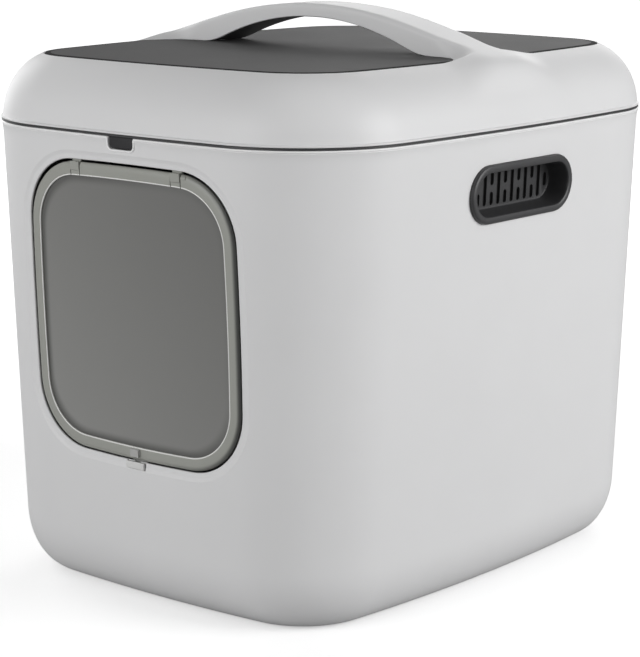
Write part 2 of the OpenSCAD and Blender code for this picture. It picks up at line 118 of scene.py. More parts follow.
bpy.ops.mesh.primitive_plane_add(size=40, location=(0, 0, -0.0002))
floor = bpy.context.object
floor.name = "floor"
paper = bpy.data.materials.new("white_paper")
paper.use_nodes = True
tree = paper.node_tree
matte = tree.nodes["Principled BSDF"]
matte.inputs["Base Color"].default_value = (0.9, 0.9, 0.9, 1)
matte.inputs["Roughness"].default_value = 0.9
matte.inputs["Specular IOR Level"].default_value = 0.0
dull = tree.nodes.new("ShaderNodeBsdfDiffuse")
dull.inputs["Color"].default_value = (0.45, 0.45, 0.45, 1)
place = tree.nodes.new("ShaderNodeTexCoord")
away = tree.nodes.new("ShaderNodeVectorMath")
away.operation = "LENGTH"
fade = ramp(tree, 0.7, 2.4, 0.42, 0.95)
glow = tree.nodes.new("ShaderNodeEmission")
seen = tree.nodes.new("ShaderNodeLightPath")
lit = tree.nodes.new("ShaderNodeMixShader")
both = tree.nodes.new("ShaderNodeAddShader")
tree.links.new(place.outputs["Object"], away.inputs[0])
tree.links.new(away.outputs["Value"], fade.inputs["Value"])
tree.links.new(fade.outputs["Result"], glow.inputs["Strength"])
tree.links.new(matte.outputs["BSDF"], both.inputs[0])
tree.links.new(glow.outputs["Emission"], both.inputs[1])
tree.links.new(seen.outputs["Is Camera Ray"], lit.inputs["Fac"])
tree.links.new(dull.outputs["BSDF"], lit.inputs[1])
tree.links.new(both.outputs["Shader"], lit.inputs[2])
tree.links.new(lit.outputs["Shader"], tree.nodes["Material Output"].inputs["Surface"])
floor.data.materials.append(paper)


# Tub
# The deep body: one white injection moulding with drafted, bowed walls, an
# elliptic roll under the walls and a dished edge round the doorway.
half_width = 200.0
half_depth = 243.5
corner = 102.0
bow_front = 10.2
bow_side = 14.1
wall = 3.0
wall_heights = (52, 60, 120, 240, 340, 360)
rim_flares = ((9.6, 0.03), (7.1, 0.14), (5.1, 0.36), (3.6, 0.66), (2.4, 0.98), (1.9, 0.8), (1.6, 0.4),
              (0.5, 0.3))
seam_z = 373.6
rim_z = 372.6
draft_x = 0.0453
draft_y = 0.041
corner_taper = 0.064
base_rise = 48.0
base_inset = 30.0
plan_steps = (16, 34, 18)
door_width = 220.0
door_height = 233.8
door_z = 235.2
door_corner = 53.0
door_bow = 2.5
side_tilt = math.atan(draft_x)
door_tilt = math.atan(draft_y)
grip_l = 134.5
grip_h = 46.0
grip_z = 325.0
grip_seat = 1.2
latch_half = 12.2
latch_low = 363.8
latch_round = 3.0
latch_gap = 0.8
latch_depth = 9.0
lock_half = 9.3
lock_play = 0.8
lock_seat_low = -123.3
lock_seat_top = -114.0
lock_seat_depth = 2.6
stem_hole_half = 3.3
grip_play = 0.8
grip_lip = 6.8
ledge_inset = 6.0


def outline(half_w, half_d, radius, bow_w, bow_d, steps):
    """Eight tangent arcs round a centre, anticlockwise from the middle of the right side."""
    front_r = (half_w ** 2 + bow_w ** 2) / (2 * bow_w)
    side_r = (half_d ** 2 + bow_d ** 2) / (2 * bow_d)
    front_c = Vector((0, half_d - front_r))
    side_c = Vector((half_w - side_r, 0))
    apart = (side_c - front_c).length
    along = (side_c - front_c) / apart
    reach = ((front_r - radius) ** 2 - (side_r - radius) ** 2 + apart ** 2) / (2 * apart)
    rise = math.sqrt((front_r - radius) ** 2 - reach ** 2)
    middle = front_c + reach * along + rise * Vector((along.y, -along.x))
    side_turn = math.atan2(middle.y - side_c.y, middle.x - side_c.x)
    front_turn = math.atan2(middle.y - front_c.y, middle.x - front_c.x)

    def arc(centre, r, start, end, count):
        turns = [start + (end - start) * i / count for i in range(count)]
        return [centre + r * Vector((math.cos(t), math.sin(t))) for t in turns]

    quarter = (arc(side_c, side_r, 0, side_turn, steps[0])
               + arc(middle, radius, side_turn, front_turn, steps[1])
               + arc(front_c, front_r, front_turn, math.pi / 2, steps[2])
               + [front_c + Vector((0, front_r))])
    half = quarter[:-1] + [Vector((-p.x, p.y)) for p in reversed(quarter)]
    return half[:-1] + [-p for p in half[:-1]]


def tub_outline(z, inset=0.0):
    """The tub's plan at height z, drawn in by inset."""
    down = seam_z - z
    plan = outline(half_width - draft_x * down - inset, half_depth - draft_y * down - inset,
                   corner - corner_taper * down - inset, bow_front, bow_side, plan_steps)
    return [Vector((p.x, p.y, z)) for p in plan]


def wall_y(x, z):
    """Depth of the tub's front face at x and z."""
    plan = tub_outline(z)
    count = len(plan)
    front = [plan[i] for i in range(count // 2, count)]
    for a, b in zip(front, front[1:]):
        if a.x <= x <= b.x:
            return a.y + (b.y - a.y) * (x - a.x) / (b.x - a.x)
    return front[0].y


def door_ring(grow, depth, width=door_width, height=door_height, drop=0.0, steps=(10, 16, 10)):
    """The doorway's outline grown by grow, at depth behind the front face."""
    plan = outline(width / 2 + grow, height / 2 + grow, door_corner + grow, door_bow, door_bow, steps)
    return [Vector((p.x, wall_y(p.x, door_z + p.y) + depth, door_z + p.y - drop)) for p in plan]


def loft(rings, bm=None, first=None, closed=True):
    """A skin through rings of equal length, in the order given. It starts from the
    ring of vertices first, or from a new circle; closed fills both ends."""
    if bm is None:
        bm = bmesh.new()
        bmesh.ops.create_circle(bm, segments=len(rings[0]), radius=1)
        ring = list(bm.verts)
        for vert, point in zip(ring, rings[0]):
            vert.co = point
        rings = rings[1:]
    else:
        ring = list(first)
    start = ring_edges(ring)
    edges = start
    loops = [ring]
    for points in rings:
        made = bmesh.ops.extrude_edge_only(bm, edges=edges)["geom"]
        fresh = {g for g in made if isinstance(g, bmesh.types.BMVert)}
        edges = [g for g in made if isinstance(g, bmesh.types.BMEdge) and set(g.verts) <= fresh]
        ring = [next(e.other_vert(v) for e in v.link_edges if e.other_vert(v) in fresh) for v in ring]
        for vert, point in zip(ring, points):
            vert.co = point
        loops.append(ring)
    if closed:
        bmesh.ops.contextual_create(bm, geom=start)
        bmesh.ops.contextual_create(bm, geom=edges)
    return bm, loops


def ring_edges(ring):
    """The edges that join a ring of vertices."""
    pairs = zip(ring, ring[1:] + ring[:1])
    return [next(e for e in a.link_edges if e.other_vert(a) == b) for a, b in pairs]


def piece_from(bm, name):
    """An object from a bmesh in millimetres, with its faces turned outwards."""
    bmesh.ops.recalc_face_normals(bm, faces=bm.faces)
    bmesh.ops.scale(bm, vec=(0.001, 0.001, 0.001), verts=bm.verts)
    mesh = bpy.data.meshes.new(name)
    bm.to_mesh(mesh)
    bm.free()
    piece = bpy.data.objects.new(name, mesh)
    bpy.context.collection.objects.link(piece)
    return piece


def solid_from(rings, name):
    """A piece whose skin runs through the rings and is filled at both ends."""
    return piece_from(loft(rings)[0], name)


def cut(piece, *cutters, how="DIFFERENCE"):
    """Cuts the cutters out of the piece, or joins them to it, and removes them."""
    for cutter in cutters:
        step = piece.modifiers.new("cut", "BOOLEAN")
        step.operation = how
        step.solver = "EXACT"
        step.object = cutter
    bake(piece)
    for cutter in cutters:
        bpy.data.objects.remove(cutter)


def bake(piece):
    """Makes the piece's modifiers part of its mesh."""
    shaped = piece.evaluated_get(bpy.context.evaluated_depsgraph_get())
    mesh = bpy.data.meshes.new_from_object(shaped)
    piece.modifiers.clear()
    piece.data = mesh


def dress(piece, material, body, smooth=30.0, stands_for=()):
    """Smooths the piece up to an angle, gives it its finish and rides it on its body."""
    for face in piece.data.polygons:
        face.use_smooth = True
    piece.data.set_sharp_from_angle(angle=math.radians(smooth))
    piece.data.materials.clear()
    piece.data.materials.append(material)
    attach(piece, body)
    if stands_for:
        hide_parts(*stands_for)


def box_between(low, high, place=None):
    """A bmesh block between two corners, set down by a placement."""
    bm = bmesh.new()
    bmesh.ops.create_cube(bm, size=1)
    size = Vector(high) - Vector(low)
    bmesh.ops.scale(bm, vec=size, verts=bm.verts)
    bmesh.ops.translate(bm, vec=(Vector(high) + Vector(low)) / 2, verts=bm.verts)
    bmesh.ops.transform(bm, matrix=place or Matrix(), verts=bm.verts)
    return bm


def on_side(side):
    """Placement on a side wall: x along the wall, y into the box, z up the wall."""
    reach = half_width - draft_x * (seam_z - grip_z)
    return (Matrix.Rotation(side * math.pi / 2, 4, "Z") @ Matrix.Translation((0, -reach, grip_z))
            @ Matrix.Rotation(side_tilt, 4, "X"))


def on_door():
    """Placement on the front wall at the doorway's centre."""
    reach = half_depth - draft_y * (seam_z - door_z)
    return Matrix.Translation((0, -reach, door_z)) @ Matrix.Rotation(door_tilt, 4, "X")


def obround(length, height, depth, place, steps=14):
    """Ring of a lying obround at depth, set down by a placement."""
    end = (length - height) / 2
    ring = []
    for side in (1, -1):
        for i in range(steps + 1):
            turn = side * (math.pi * i / steps - math.pi / 2)
            ring.append(Vector((side * (end + height / 2 * math.cos(turn)), depth,
                                height / 2 * math.sin(turn))))
    return [place @ point for point in ring]


def button_ring(half, low, high, radius, y, steps=5):
    """Ring of the latch button's face at depth y: square above, rounded below."""
    ring = [Vector((half, y, high)), Vector((-half, y, high))]
    for side in (-1, 1):
        for i in range(steps + 1):
            turn = math.pi / 2 * (i if side < 0 else steps - i) / steps
            ring.append(Vector((side * (half - radius + radius * math.cos(turn)), y,
                                low + radius - radius * math.sin(turn))))
    return ring


def moulded_skin():
    """Group: fine spark-eroded grain of a moulding, as bump height and a mask for gloss."""
    group = bpy.data.node_groups.new("moulded_skin", "ShaderNodeTree")
    for name, value in (("Grain", 900.0), ("Mottle", 14.0)):
        group.interface.new_socket(name, in_out="INPUT", socket_type="NodeSocketFloat").default_value = value
    for name in ("Height", "Mask"):
        group.interface.new_socket(name, in_out="OUTPUT", socket_type="NodeSocketFloat")
    into = group.nodes.new("NodeGroupInput")
    out = group.nodes.new("NodeGroupOutput")
    place = group.nodes.new("ShaderNodeTexCoord")
    grain = group.nodes.new("ShaderNodeTexNoise")
    grain.inputs["Detail"].default_value = 2.0
    mottle = group.nodes.new("ShaderNodeTexNoise")
    mottle.inputs["Detail"].default_value = 3.0
    for noise, scale in ((grain, "Grain"), (mottle, "Mottle")):
        group.links.new(place.outputs["Object"], noise.inputs["Vector"])
        group.links.new(into.outputs[scale], noise.inputs["Scale"])
    group.links.new(grain.outputs["Fac"], out.inputs["Height"])
    group.links.new(mottle.outputs["Fac"], out.inputs["Mask"])
    return group


skin_group = moulded_skin()


def plastic(name, dark, light, gloss, bump, grain=900.0, mottle=14.0, specular=0.5):
    """A moulded plastic: colour and roughness drift a little, over a fine grain."""
    material = bpy.data.materials.new(name)
    material.use_nodes = True
    tree = material.node_tree
    shader = tree.nodes["Principled BSDF"]
    shader.inputs["Specular IOR Level"].default_value = specular
    skin = tree.nodes.new("ShaderNodeGroup")
    skin.node_tree = skin_group
    skin.inputs["Grain"].default_value = grain
    skin.inputs["Mottle"].default_value = mottle
    tint = tree.nodes.new("ShaderNodeMix")
    tint.data_type = "RGBA"
    tint.inputs[6].default_value = (*dark, 1)
    tint.inputs[7].default_value = (*light, 1)
    shine = ramp(tree, 0.0, 1.0, *gloss)
    relief = tree.nodes.new("ShaderNodeBump")
    relief.inputs["Strength"].default_value = bump
    relief.inputs["Distance"].default_value = 0.0002
    tree.links.new(skin.outputs["Mask"], tint.inputs["Factor"])
    tree.links.new(skin.outputs["Mask"], shine.inputs["Value"])
    tree.links.new(skin.outputs["Height"], relief.inputs["Height"])
    tree.links.new(tint.outputs[2], shader.inputs["Base Color"])
    tree.links.new(shine.outputs["Result"], shader.inputs["Roughness"])
    tree.links.new(relief.outputs["Normal"], shader.inputs["Normal"])
    return material


white_plastic = plastic("white_plastic", (0.76, 0.76, 0.765), (0.79, 0.79, 0.795), (0.42, 0.5), 0.12)

base_steps = 18
rings = []
for i in range(base_steps + 1):
    turn = math.pi / 2 * i / base_steps
    rings.append(tub_outline(base_rise * (1 - math.cos(turn)), base_inset * (1 - math.sin(turn))))
rings += [tub_outline(z) for z in wall_heights]
rings += [tub_outline(rim_z - down, -flare) for down, flare in rim_flares]
rings += [tub_outline(rim_z - down, inset)
          for down, inset in ((0, 0.3), (0, ledge_inset), (5.6, ledge_inset), (10.6, wall))]
for i in range(base_steps + 1):
    turn = math.pi / 2 * (1 - i / base_steps)
    rings.append(tub_outline(base_rise - (base_rise - wall - 0.5) * math.cos(turn),
                             wall + (base_inset - wall) * (1 - math.sin(turn))))
tub = solid_from(rings, "tub_shell")

doorway_section = ((0, 14), (0, 2.4), (0.15, 1.8), (0.5, 1.45), (1.0, 1.3), (2.6, 1.2), (4.2, 1.0),
                   (5.4, 0.62), (6.4, 0.2), (7.0, 0.0), (9.2, -1.0), (9.2, -9))
doorway = solid_from([door_ring(grow, depth) for grow, depth in doorway_section], "doorway_cutter")
lock_seat = piece_from(box_between((-lock_half - lock_play, -4, lock_seat_low),
                                   (lock_half + lock_play, lock_seat_depth, lock_seat_top), on_door()),
                       "lock_seat_cutter")
lock_slot = piece_from(box_between((-stem_hole_half, 0, -123), (stem_hole_half, 12, lock_seat_top),
                                   on_door()), "lock_slot_cutter")
latch_notch = solid_from([button_ring(latch_half + latch_gap, latch_low - latch_gap, 380,
                                      latch_round + latch_gap, y) for y in (-250, latch_depth - half_depth)],
                         "latch_notch_cutter")
grip_holes = []
for side in (-1, 1):
    place = on_side(side)
    grip_holes.append(solid_from([obround(grip_l + more, grip_h + more, depth, place) for more, depth in
                                  ((grip_play, -6), (grip_play, grip_seat), (-grip_lip, grip_seat),
                                   (-grip_lip, 16))], "grip_hole_cutter"))
cut(tub, doorway, lock_seat, lock_slot, latch_notch, *grip_holes)
dress(tub, white_plastic, "tub_body", smooth=9, stands_for=["tub"])

# Rim bead
# A fine round bead moulded along the tub's rim, which dips round the notch of
# the latch button and catches the light below the seam; its colour is painted lighter than the tub's white as
# a painted highlight.
bead_r = 0.85
bead_inset = -0.45
bead_bend = 0.9
bead_bend_middle = 0.25


def hoop(rings):
    """A closed hoop: a skin through the rings in order, the last joined to the first."""
    bm, loops = loft(rings + rings[:1], closed=False)
    bmesh.ops.weld_verts(bm, targetmap=dict(zip(loops[-1], loops[0])))
    return bm


def tube(path, radius, sides=10):
    """A closed tube of radius round a closed path, its section turned outwards."""
    rings = []
    for i, point in enumerate(path):
        along = (path[(i + 1) % len(path)] - path[i - 1]).normalized()
        out = Vector((point.x, point.y, 0))
        out = (out - out.project(along)).normalized()
        up = along.cross(out)
        rings.append([point + radius * (math.cos(t) * out + math.sin(t) * up)
                      for t in (2 * math.pi * k / sides for k in range(sides))])
    return hoop(rings)


bead_z = rim_z - bead_r - 0.05
notch_half = latch_half + latch_gap + bead_r
bead_path = [p for p in tub_outline(bead_z, bead_inset) if abs(p.x) > notch_half + 2 or p.y > 0]
dip = button_ring(notch_half, latch_low - latch_gap - bead_r, bead_z, latch_round + latch_gap + bead_r, 0)
bend = ((bead_bend, 0), (bead_bend_middle, bead_bend_middle), (0, bead_bend))
dip = ([Vector((-notch_half - out, 0, bead_z - down)) for out, down in bend] + dip[2:]
       + [Vector((notch_half + out, 0, bead_z - down)) for out, down in reversed(bend)])
for point in dip:
    point.y = wall_y(point.x, point.z) + bead_inset
first_right = next(i for i, p in enumerate(bead_path) if p.y < 0 and p.x > 0)
bead_path = bead_path[:first_right] + dip + bead_path[first_right:]
# Lighter than the tub's white plastic: a painted highlight on the bead.
bead_highlight_paint = plastic("bead_highlight_paint", (0.93, 0.93, 0.93), (0.96, 0.96, 0.96), (0.3, 0.4), 0.05)
rim_bead = piece_from(tube(bead_path, bead_r), "rim_bead")
dress(rim_bead, bead_highlight_paint, "tub_body", smooth=60)

# Lid
# One white moulding: the crown rolls up to a thin lip round the mat, and the
# carry handle grows out of both sides in one flowing surface.
lid_z = 374.6
crown_width = 48.6
crown_start = 371.6
crown_height = 56.0
crown_lean = 1.23
lid_steps = (28, 34, 18)
mat_edge = half_width - 35.1
floor_of_mat = 422.9
lip_z = 424.45
roof_z = 420.3
roof_inset = 27.5
under_turn = math.radians(66)
under_steps = 12
crown_side_power = 2 / 1.86
crown_top_power = 2 / 2.15
handle_top = 461.7
handle_half = 20.5
handle_arc_r = 380.0
handle_arc_x = 105.0
shoulder_x = 160.0
shoulder_run = 30.0
shoulder_drop = 12.0
shoulder_power = 6.3
bar_thick = 10.7
bar_inset = 3.0
bar_steps = 44
gap_top = 451.0
gap_arc_r = 232.0
gap_arc_x = 98.7
gap_end_x = 122.0
foot_flare = 42.5
ridge_core = 12.0
ridge_blend = 9.0
foot_columns = 12


def lid_ring(inset, z):
    """The lid's plan drawn in by inset, at height z."""
    plan = outline(half_width - inset, half_depth - inset, corner - crown_lean * inset,
                   bow_front, bow_side, lid_steps)
    return [Vector((p.x, p.y, z)) for p in plan]


def crown_point(turn):
    """Inset and height on the crown's rounded section, at a turn of up to a quarter."""
    inset = crown_width * (1 - math.cos(turn) ** crown_side_power)
    return inset, crown_start + crown_height * math.sin(turn) ** crown_top_power


def handle_height(x):
    """Top of the handle, from its crown down to where it rounds into the lid's side."""
    x = abs(x)
    slope = handle_arc_x / handle_arc_r
    if x < handle_arc_x:
        return handle_top - x * x / (2 * handle_arc_r)
    drop = handle_arc_x * slope / 2 + (x - handle_arc_x) * slope
    if x > shoulder_x:
        drop += shoulder_drop * ((x - shoulder_x) / shoulder_run) ** shoulder_power
    return handle_top - drop


def gap_height(x):
    """Underside of the handle: an arc that eases down to the mat."""
    x = abs(x)
    slope = gap_arc_x / gap_arc_r
    if x < gap_arc_x:
        return gap_top - x * x / (2 * gap_arc_r)
    past = min(x, gap_end_x) - gap_arc_x
    return (gap_top - gap_arc_x * slope / 2 - slope * past
            + slope * past ** 2 / (2 * (gap_end_x - gap_arc_x)))


def foot_half(x):
    """Half width of the handle's foot, flared by a quarter circle into the lip."""
    into = max(0.0, min(foot_flare, mat_edge - abs(x)))
    return handle_half + foot_flare - math.sqrt(foot_flare ** 2 - (foot_flare - into) ** 2)


def ease(t):
    """0 to 1 with a level start and end."""
    t = max(0.0, min(1.0, t))
    return t * t * (3 - 2 * t)


def ridge(y, half):
    """Share of the handle's height that is left at y, over a foot of half width half."""
    return 1 - ease((abs(y) - ridge_core) / (half - ridge_core))


def raise_ridge(ring):
    """Lifts the crown to the handle's top where the handle runs down into the lid's side."""
    half = handle_half + foot_flare
    for point in ring:
        if abs(point.y) < half:
            reach = handle_height(point.x) - point.z
            lift = ((reach + math.sqrt(reach * reach + ridge_blend)) / 2
                    - ridge_blend / (4 * abs(reach) + 6))
            point.z += max(0.0, lift) * ridge(point.y, half)
    return ring


bar_edge = [(0, 0), (4, 0), (8, 0), (12, 0), (15, 0), (16.8, 0.03), (18, 0.25), (19, 0.75),
            (19.8, 1.55), (20.3, 2.6), (20.5, 4.0), (20.5, 6.0), (20.5, 8.0)]
bar_under = [(20.3, 0.5), (19.6, 0.05), (18.8, 0)] + [(1.7 * k, 0) for k in range(9, -1, -1)]


def handle_section(x):
    """Section of the handle at x: its upper side from -Y to +Y, then its underside back."""
    share = ease((abs(x) - mat_edge + foot_flare) / foot_flare)
    half = foot_half(x)
    top = handle_height(x)
    under = max(gap_height(x), floor_of_mat + 0.1)
    upper = []
    for k, (y, drop) in enumerate(bar_edge):
        drop *= min(1.0, (top - under) / bar_thick)
        wide = half * k / foot_columns
        bell = lip_z + (top - lip_z) * ridge(wide, half)
        upper.append(((1 - share) * y + share * wide, (1 - share) * (top - drop) + share * bell))
    lower = [((1 - share) * y + share * half * (foot_columns - k) / foot_columns, under + (1 - share) * rise)
             for k, (y, rise) in enumerate(bar_under)]
    section = [(-y, z) for y, z in reversed(upper)] + upper[1:]
    section += lower + [(-y, z) for y, z in reversed(lower[:-1])]
    return [Vector((x, y, z)) for y, z in section]


crown_steps = 26
lip_turn = math.radians(69.6)
lower_edge = ((wall, 1), (wall, 0), (-0.5, 0), (-1.1, 0.25), (-1.3, 0.75), (-1.2, 1.3), (-0.75, 1.75),
              (-0.3, 1.95), (0.02, 2.15), (0.12, 2.6), (0.2, 3.3), (0.28, 3.8))
lip_section = ((33.4, 424.6), (33.8, 424.85), (34.3, 424.95), (34.8, 424.8), (35.1, lip_z))
rings = [lid_ring(roof_inset, roof_z)]
for k in range(under_steps, 0, -1):
    inset, z = crown_point(under_turn * k / under_steps)
    rings.append(lid_ring(wall + inset * 0.93, crown_start + (z - crown_start) * 0.95 - 1.5))
rings += [lid_ring(inset, lid_z + rise) for inset, rise in lower_edge]
first_turn = math.radians(6.3)
for k in range(crown_steps + 1):
    inset, z = crown_point(first_turn + (lip_turn - first_turn) * k / crown_steps)
    rings.append(raise_ridge(lid_ring(inset, z)))
rings += [raise_ridge(lid_ring(inset, z)) for inset, z in lip_section]
rings.append(lid_ring(35.2, floor_of_mat))
lid_bm, loops = loft(rings)
columns = len(rings[0])
lip_loop, floor_loop = loops[-2], loops[-1]
right = [k % columns for k in range(-foot_columns, foot_columns + 1)]
left = [columns // 2 - k for k in range(-foot_columns, foot_columns + 1)]


def mouth(columns_across):
    """The ring of vertices round the lip's inner wall where a handle's end grows out."""
    return [lip_loop[k] for k in columns_across] + [floor_loop[k] for k in reversed(columns_across)]


right_mouth = mouth(right)
left_mouth = mouth(left)
for across in (set(right_mouth), set(left_mouth)):
    walls = [f for f in lid_bm.faces if len(f.verts) == 4 and set(f.verts) <= across]
    bmesh.ops.delete(lid_bm, geom=walls, context="FACES")
bar_start = mat_edge - bar_inset
stations = [bar_start - bar_start * k / bar_steps for k in range(bar_steps)]
sections = [handle_section(x) for x in stations] + [handle_section(0)]
sections += [handle_section(-x) for x in reversed(stations)]
sections.append([v.co.copy() for v in left_mouth])
lid_bm, loops = loft(sections, lid_bm, right_mouth, closed=False)
bmesh.ops.weld_verts(lid_bm, targetmap=dict(zip(loops[-1], left_mouth)))
lid = piece_from(lid_bm, "lid_crown")
dress(lid, white_plastic, "lid", smooth=32, stands_for=["lid_shell"])

# Seam trim
# The dark edge of the lid's frame, which fills the gap between the two white
# beads and comes out flush with them.
dark_plastic = plastic("dark_plastic", (0.035, 0.035, 0.037), (0.05, 0.05, 0.052), (0.38, 0.5), 0.25)
trim_section = ((1.6, 372.8), (-0.7, 372.8), (-0.95, 373.05), (-0.95, 374.2), (-0.7, 374.45), (1.6, 374.45))
trim = piece_from(hoop([lid_ring(inset, z) for inset, z in trim_section]), "seam_trim")
dress(trim, dark_plastic, "lid", smooth=30)

# Top mat
# A grained grey sheet let into the lid's top, with a dark speckled border
# and cut-outs for the handle's feet. The border's darkness is painted shade of the gap and the rounded edge
# under the lip; its speckle is the grain.
mat_top = 425.35
border_inset = 40.2
foot_start = 112.5
foot_steps = 24
foot_play = 0.4
mat_rubber = plastic("mat_rubber", (0.075, 0.075, 0.075), (0.095, 0.095, 0.095), (0.6, 0.75), 0.6,
                     grain=700, specular=0.2)
# Near black: painted shade in the gap and on the mat's rounded edge under the lip, over a speckled grain.
mat_gap_shade_paint = plastic("mat_gap_shade_paint", (0.0, 0.0, 0.0), (0.035, 0.035, 0.035), (0.7, 0.9), 1.0,
                     grain=500, mottle=700, specular=0.1)


def foot_reach(x):
    """Half width of the handle's foot where it stands in the mat."""
    share = ease((abs(x) - mat_edge + foot_flare) / foot_flare)
    return (1 - share) * handle_half + share * foot_half(x)


def foot_cutters():
    """Cutters for the two places where the handle stands in the mat."""
    cutters = []
    for side in (-1, 1):
        reach = [foot_start + (mat_edge + 2 - foot_start) * k / foot_steps for k in range(foot_steps + 1)]
        plan = [Vector((side * x, -foot_reach(x) - foot_play, 0)) for x in reach]
        plan += [Vector((side * x, foot_reach(x) + foot_play, 0)) for x in reversed(reach)]
        cutters.append(solid_from([[p + Vector((0, 0, z)) for p in plan] for z in (415, 435)], "foot_cutter"))
    return cutters


mat_low = floor_of_mat + 0.05
mat = solid_from([lid_ring(border_inset, mat_low), lid_ring(border_inset, mat_top)], "mat_sheet")
cut(mat, *foot_cutters())
dress(mat, mat_rubber, "lid", smooth=25, stands_for=["top_mat"])
border_section = ((border_inset, mat_low), (35.5, mat_low), (35.5, mat_top - 0.9), (35.7, mat_top - 0.45),
                  (36.1, mat_top - 0.12), (36.6, mat_top), (border_inset, mat_top))
border = piece_from(hoop([lid_ring(inset, z) for inset, z in border_section]), "mat_gap_shade_paint")
cut(border, *foot_cutters())
dress(border, mat_gap_shade_paint, "lid", smooth=40)

# Handle lining
# A dark strip that closes the hollow under the carry handle, pressed in from
# below between the handle's rounded edges.
lining_half = 19.2
lining_steps = 30
lining_section = ((-lining_half, 0.3), (-lining_half + 0.6, -0.3), (lining_half - 0.6, -0.3),
                  (lining_half, 0.3), (lining_half, 1.6), (-lining_half, 1.6))
lining_places = [gap_end_x * k / lining_steps for k in range(-lining_steps, lining_steps + 1)]
lining = solid_from([[Vector((x, y, gap_height(x) + rise)) for y, rise in lining_section]
                     for x in lining_places], "handle_lining")
dress(lining, dark_plastic, "lid", smooth=35, stands_for=["handle_insert"])

# Latch button
# A dark press button in the notch below the seam, bevelled in front, with the
# guide and the nose that hold the lid behind it.
latch_plastic = plastic("latch_plastic", (0.03, 0.03, 0.032), (0.036, 0.036, 0.038), (0.55, 0.65), 0.25,
                        specular=0.25)
button_front = 0.4 - half_depth
button_top = 372.4
button = solid_from([button_ring(latch_half - inset, latch_low + inset, button_top - inset,
                                 latch_round - inset / 2, button_front + depth)
                     for inset, depth in ((0.5, 0), (0.15, 0.15), (0, 0.5), (0, 2.6))], "latch_button")
guide = piece_from(box_between((-9, 2.8 - half_depth, 366), (9, 15 - half_depth, 372.3)), "latch_guide")
nose = piece_from(box_between((-6, 5.3 - half_depth, 355.5), (6, 7.3 - half_depth, 367)), "latch_nose")
cut(button, guide, nose, how="UNION")
dress(button, latch_plastic, "latch", smooth=25, stands_for=["front_latch"])

# Flap band
# The smoked band round the flap, bevelled inside and out, with cut-outs for
# the two straps, a fine groove on either side of each, and its pin barrels.
flap_w = door_width - 3
flap_h = 230.8
flap_drop = 0.6
band_w = 10.5
band_front = 1.2
band_back = 4.4
strap_x = 53.0
strap_half = 4.75
hinge_n = 4.3
hinge_w = 110.8
strap_r = 4.1
strap_back = 6.6
barrel_r = 2.4
barrel_long = 5.0
barrel_x = 7.7
groove_half = 0.45
groove_gap = 0.25
smoked_band = plastic("smoked_band", (0.34, 0.345, 0.315), (0.38, 0.385, 0.355), (0.3, 0.4), 0.1)


def flap_ring(grow, depth):
    """The flap's outline grown by grow, at depth behind the front wall."""
    return door_ring(grow, depth, flap_w, flap_h, flap_drop)


def rod(x, radius, length, n=hinge_n, w=hinge_w):
    """A round bar along x on the front wall."""
    bm = bmesh.new()
    bmesh.ops.create_cone(bm, cap_ends=True, segments=48, radius1=radius, radius2=radius, depth=length)
    place = on_door() @ Matrix.Translation((x, n, w)) @ Matrix.Rotation(math.pi / 2, 4, "Y")
    bmesh.ops.transform(bm, matrix=place, verts=bm.verts)
    return bm


def groove_cutters(side, below, back):
    """Cutters for the fine grooves on either side of a strap, from below its pin down to back."""
    cutters = []
    for end in (-1, 1):
        middle = side * strap_x + end * (strap_half + groove_gap)
        block = box_between((middle - groove_half, -4, hinge_w - below),
                            (middle + groove_half, back, hinge_w + 2), on_door())
        cutters.append(piece_from(block, "groove_cutter"))
    return cutters


band_section = ((0, 3.8), (-0.1, 3.1), (-0.45, 2.5), (-1.1, 1.95), (-2.1, 1.5), (-3.4, band_front),
                (-5.2, band_front), (1.7 - band_w, band_front), (1.35 - band_w, 1.25), (0.1 - band_w, 2.3),
                (-band_w, 2.6), (-band_w, 2.85), (3.5 - band_w, 2.85), (3.5 - band_w, band_back),
                (-0.8, band_back))
band = piece_from(hoop([flap_ring(grow, depth) for grow, depth in band_section]), "flap_band")


def edge_shade():
    """Group: painted shade beside an edge, from a map of the distance to it and of how strong it is."""
    group = bpy.data.node_groups.new("edge_shade", "ShaderNodeTree")
    group.interface.new_socket("Shade", in_out="OUTPUT", socket_type="NodeSocketFloat")
    out = group.nodes.new("NodeGroupOutput")
    place = group.nodes.new("ShaderNodeTexCoord")
    edge = group.nodes.new("ShaderNodeSeparateXYZ")
    group.links.new(place.outputs["UV"], edge.inputs[0])
    near = ramp(group, 0.1, 0.42, 1.0, 0.0)
    near.interpolation_type = "SMOOTHSTEP"
    group.links.new(edge.outputs["X"], near.inputs["Value"])
    shade = group.nodes.new("ShaderNodeMath")
    shade.operation = "MULTIPLY"
    group.links.new(near.outputs["Result"], shade.inputs[0])
    group.links.new(edge.outputs["Y"], shade.inputs[1])
    group.links.new(shade.outputs["Value"], out.inputs["Shade"])
    return group


def along(turn, stops):
    """Value at a turn of 0 to 1 round the outline, between the stops given."""
    for (a, low), (b, high) in zip(stops, stops[1:]):
        if a <= turn <= b:
            return low + (high - low) * (turn - a) / (b - a)
    return stops[-1][1]


